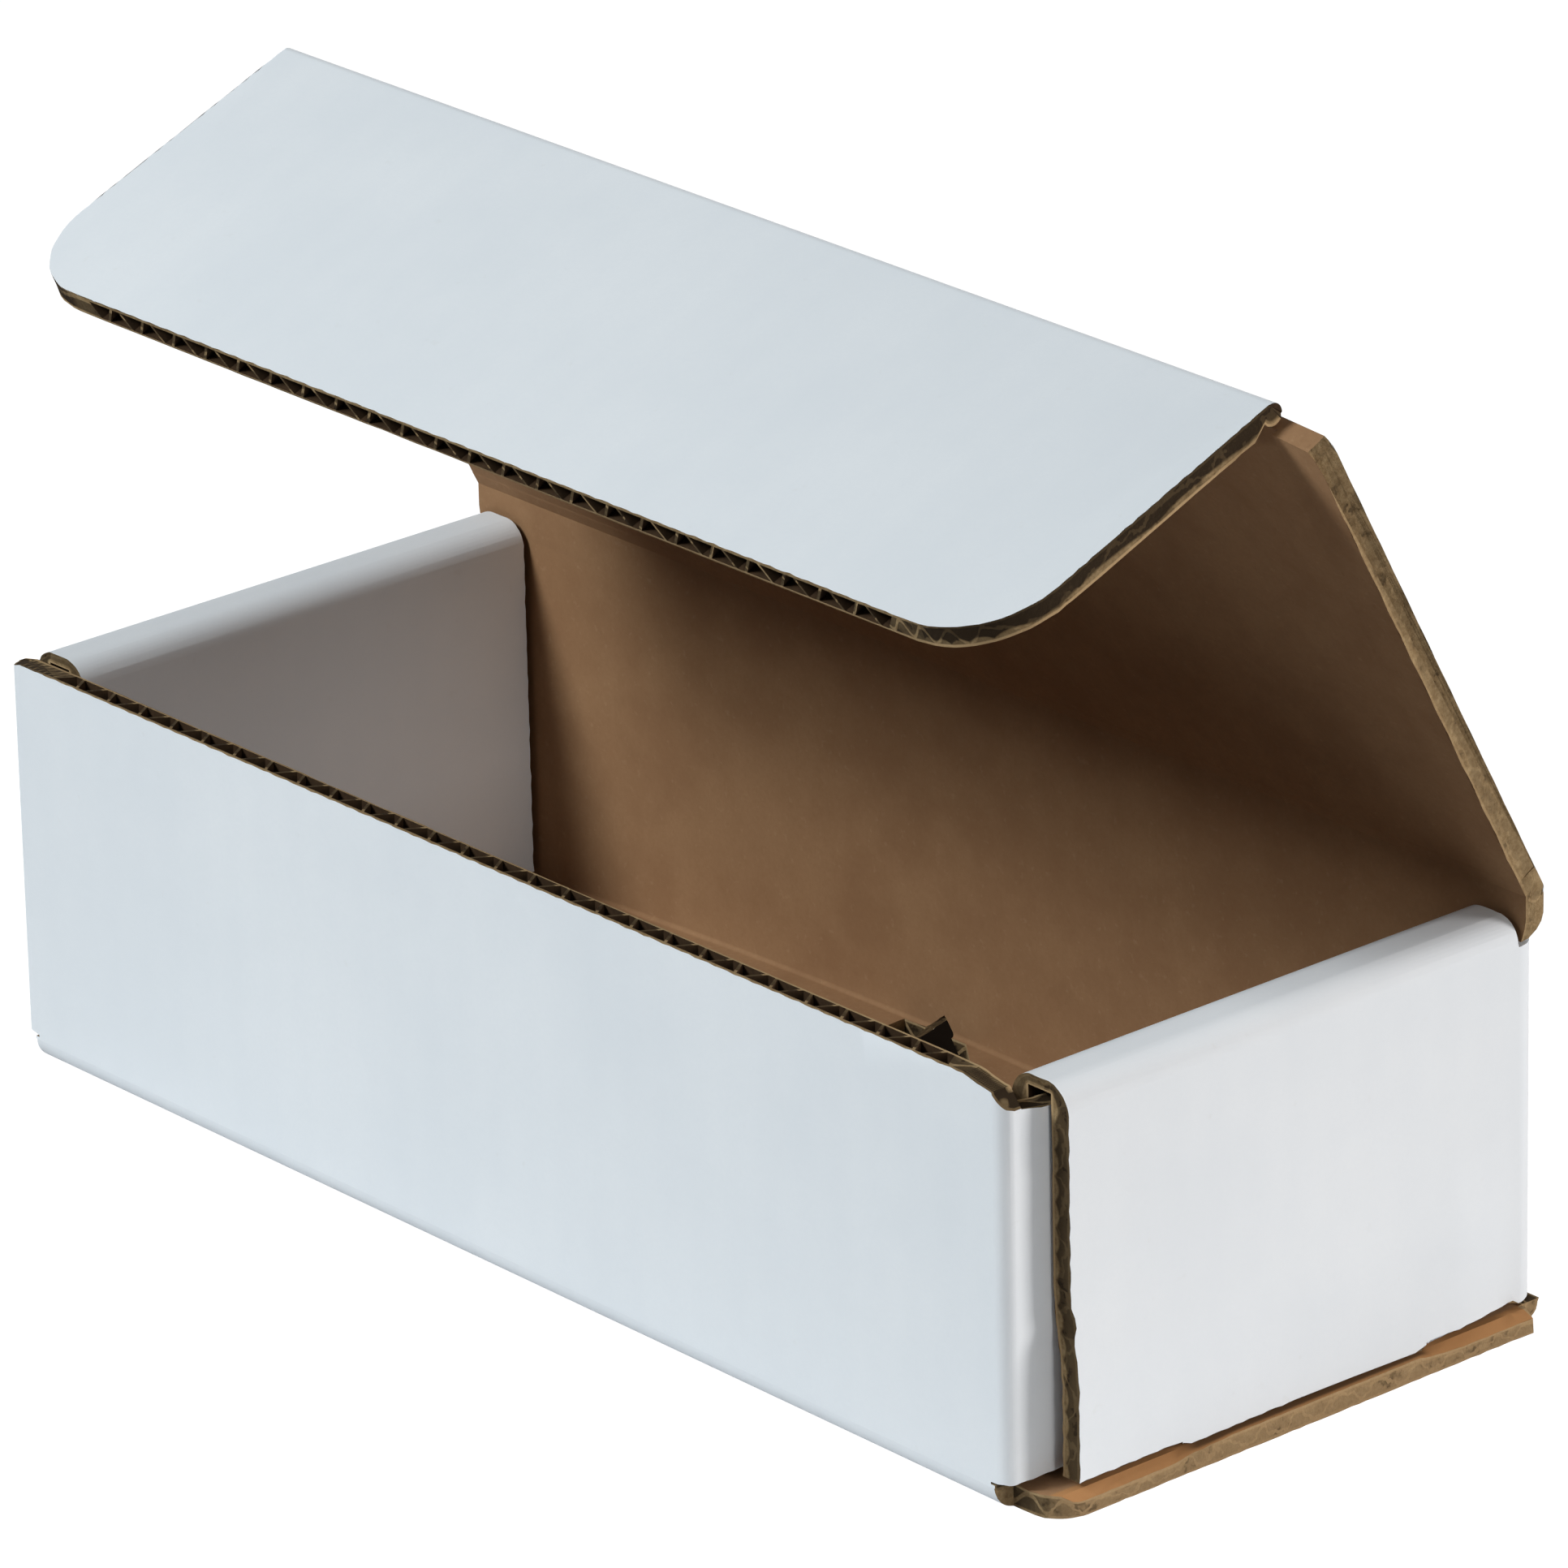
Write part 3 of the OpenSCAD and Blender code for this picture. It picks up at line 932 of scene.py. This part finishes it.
# %% [markdown]
# ## The two creases that turn
# At the back crease the real sheet runs on from the wall to the lid, while the measured model
# leaves a hair's gap so that its parts can turn. A bent strip of board closes the gap. Its section
# is a ring of points along both faces of the bend, which is drawn out along the crease; at each end
# it hangs down past the wall as a small pointed hook. The crease of the tuck flap is scored to the
# outside paper, so its two panels meet there without a strip.

# %% A bent strip of board over the back crease
SUNK, PROUD = 0.12, 0.02
REACH, ROWS = 2.9, 14
ROUND = 0.9
HOOK_OUTSIDE, HOOK_INSIDE, HOOK_FROM = 6.5, 6.7, 3.0
HOOK_TAPER, HOOK_POINT = 0.07, 0.13
BEND_FROM, BEND_TO = 3, -4


def bend_path(side_a, side_b, reach_a):
    """Points over the crease, from wall to lid. A side is (way into the sheet, way out of it).
    They stand proud of the sheets by a hair, and their two ends are sunk into them."""
    (into_a, out_a), (into_b, out_b) = side_a, side_b
    turn = out_a.angle(out_b)
    hollow = into_a.dot(out_b) > 0
    inset = BOARD / 2 * math.tan(turn / 2) if hollow else 0
    path = []
    for row in range(ROWS + 1):
        reach = reach_a if row < ROWS / 2 else REACH
        along = (row / ROWS * 2 - 1) * reach
        radius = BOARD / 2 + (PROUD if 0 < row < ROWS else -SUNK)
        if abs(along) > ROUND or hollow:
            into, out = (into_a, out_a) if along < 0 else (into_b, out_b)
            flat = max(abs(along) - ROUND, 0) / (reach - ROUND) * (reach - inset) + inset
            path.append(LID_CREASE + into * flat + out * radius)
        else:
            middle = out_a.slerp(out_b, along / (2 * ROUND) + 0.5)
            path.append(LID_CREASE + middle * radius)
    return path


UP, BACK = Vector((0, 0, 1)), Vector((0, 1, 0))
wall, lid_side = (-UP, BACK), (LID_ALONG, LID_OUT)


def turned(side):
    """The same side seen from its brown face."""
    return side[0], -side[1]


def crease_board(outside, inside):
    """A solid strip of board between two paths, closed at its ends like any cut."""
    deselect_all()
    ring = [*outside, *reversed(inside)]
    bpy.ops.mesh.primitive_circle_add(vertices=len(ring), radius=1, fill_type="NGON")
    strip = bpy.context.object
    strip.name = "back_crease"
    for v, place in zip(strip.data.vertices, ring):
        hang = max(LID_CREASE.z - place.z - HOOK_FROM, 0) ** 2
        thin = HOOK_POINT * hang if place.y > LID_CREASE.y else 0
        v.co = Vector((HOOK_TAPER * hang - LID_HALF, place.y - thin, place.z)) * MM
    bpy.ops.object.mode_set(mode="EDIT")
    bpy.ops.mesh.select_all(action="SELECT")
    bpy.ops.mesh.extrude_region_move()
    bpy.ops.transform.mirror(constraint_axis=(True, False, False), center_override=(0, 0, 0))
    bpy.ops.mesh.select_all(action="SELECT")
    bpy.ops.mesh.normals_make_consistent(inside=False)
    bpy.ops.object.mode_set(mode="OBJECT")
    for paper in papers:
        strip.data.materials.append(paper)
    shares = [i % len(ring) < len(outside) for i in range(len(strip.data.vertices))]
    keep_value(strip.data, "skin", "POINT", [float(share) for share in shares])
    keep_value(strip.data, "run", "POINT", [v.co.z / MM for v in strip.data.vertices])
    for face in strip.data.polygons:
        sides = {shares[i] for i in face.vertices}
        face.material_index = EDGE if len(sides) == 2 else WHITE if True in sides else BROWN
    bpy.ops.object.shade_smooth_by_angle(angle=SMOOTH_BELOW)
    outside[BEND_FROM] * MM
    outside[BEND_TO] * MM
    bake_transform(strip)
    print(strip.name, "faces:", len(strip.data.polygons))


crease_board(bend_path(wall, lid_side, HOOK_OUTSIDE),
             bend_path(turned(wall), turned(lid_side), HOOK_INSIDE))

# %% [markdown]
# ## The table
# A white surface that keeps a soft shadow. It is pale near the box, where it lights the lid from
# below, and darker far away. To the camera it also glows, so that it reads as the white paper of
# a product picture; the box itself only gets its normal light back. Through the opening in the
# bottom's back crease the camera sees a patch of table behind the box, which lies in shade in the
# photograph and so is dark here.

# %% White table
TABLE_GLOW = 0.88
TABLE_WHITE = 1.17
NEAR_TABLE, NEAR_FADE = 0.22, 0.1
SHADE_X = ((-0.045, -0.036), (0.002, 0.008))
SHADE_Y = ((0.03, 0.036), (0.055, 0.062))
TABLE_FAR, TABLE_SHADE = rgb(95, 95, 96), rgb(38, 31, 25)


def white_table():
    s = Shader("table_white")
    cloud = s.noise(3, 3)
    x, y, _ = s.parts()
    near = 1 - (x * x + y * y).step(NEAR_TABLE ** 2, (NEAR_TABLE + NEAR_FADE) ** 2)
    pale = s.mix(cloud, rgb(218, 218, 219), rgb(224, 224, 225))
    shade = x.between(*SHADE_X) * y.between(*SHADE_Y)
    s.set(Base_Color=s.mix(shade, s.mix(near, TABLE_FAR, pale), TABLE_SHADE), Roughness=0.9)
    s.shine(0.0)
    glow = s.tree.nodes.new("ShaderNodeEmission")
    glow.inputs["Color"].default_value = (1, 1, 1, 1)
    glow.inputs["Strength"].default_value = TABLE_WHITE
    seen = s.node("ShaderNodeLightPath", {}, out="Is Camera Ray")
    mixer = s.tree.nodes.new("ShaderNodeMixShader")
    s.put(mixer.inputs[0], seen * (1 - shade) * TABLE_GLOW)
    links = s.tree.links
    links.new(s.surface.outputs[0], mixer.inputs[1])
    links.new(glow.outputs[0], mixer.inputs[2])
    links.new(mixer.outputs[0], s.tree.nodes["Material Output"].inputs["Surface"])
    return s.material


deselect_all()
bpy.ops.mesh.primitive_plane_add(size=12, location=(0, 0, 0))
table = bpy.context.object
table.name = "table"
table.data.materials.append(white_table())

# %% [markdown]
# ## The surround
# Beyond the table there is only a pale world. The camera and mirrored rays see it white. As light
# it is almost dark, so that the lamps alone shape the box.

# %% White surround
SURROUND = 0.05
SURROUND_COLOUR = (0.97, 0.985, 1, 1)
nodes, links = world.node_tree.nodes, world.node_tree.links
background = nodes["Background"]
background.inputs["Color"].default_value = SURROUND_COLOUR
path = nodes.new("ShaderNodeLightPath")


def either(first, second):
    """1 for a ray that is one kind or the other."""
    both = nodes.new("ShaderNodeMath")
    both.operation = "MAXIMUM"
    links.new(first, both.inputs[0])
    links.new(second, both.inputs[1])
    return both.outputs[0]


plain = either(path.outputs["Is Camera Ray"], path.outputs["Is Glossy Ray"])
level = nodes.new("ShaderNodeMapRange")
level.inputs["To Min"].default_value = SURROUND
level.inputs["To Max"].default_value = 1.0
links.new(either(plain, path.outputs["Is Transmission Ray"]), level.inputs["Value"])
links.new(level.outputs[0], background.inputs["Strength"])
print("surround light:", SURROUND)
